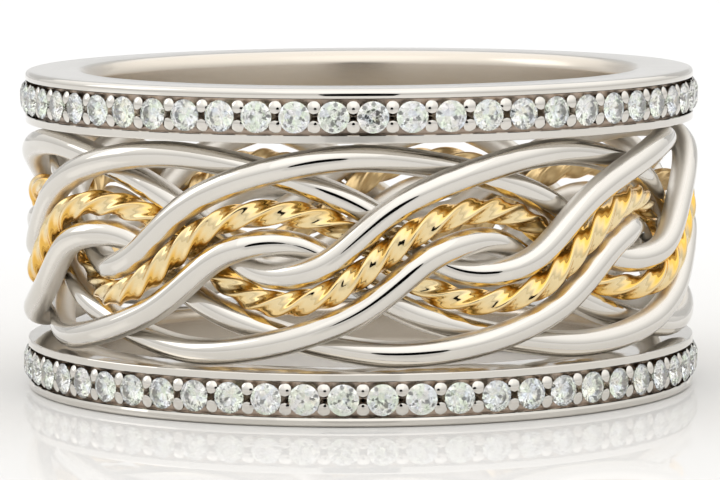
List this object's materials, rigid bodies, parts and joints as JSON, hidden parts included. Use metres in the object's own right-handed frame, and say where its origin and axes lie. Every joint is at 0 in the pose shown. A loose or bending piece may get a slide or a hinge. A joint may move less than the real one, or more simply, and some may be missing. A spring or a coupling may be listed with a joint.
{
  "type": "ring",
  "caption": "Wide finger ring with two stone-set edge rails and, between them, an open braid of round white wires and twisted yellow ropes.",
  "frame": {"origin": "centre of the finger hole at the lower rail's flat face", "axes": "+Z along the finger hole's axis, upwards as the ring lies on its side; -Y is the front"},
  "size_m": [0.0218, 0.0218, 0.0102],
  "materials": {
    "white_gold": "mirror polished white gold",
    "yellow_gold": "mirror polished yellow gold",
    "stone": "clear faceted stone"
  },
  "bodies": {
    "root": {"rail_top": "white_gold", "rail_bottom": "white_gold", "stones_top": "stone", "stones_bottom": "stone", "upper_wire": "white_gold", "lower_wire": "white_gold", "gold_rope_1": "yellow_gold", "gold_rope_2": "yellow_gold"}
  },
  "joints": []
}
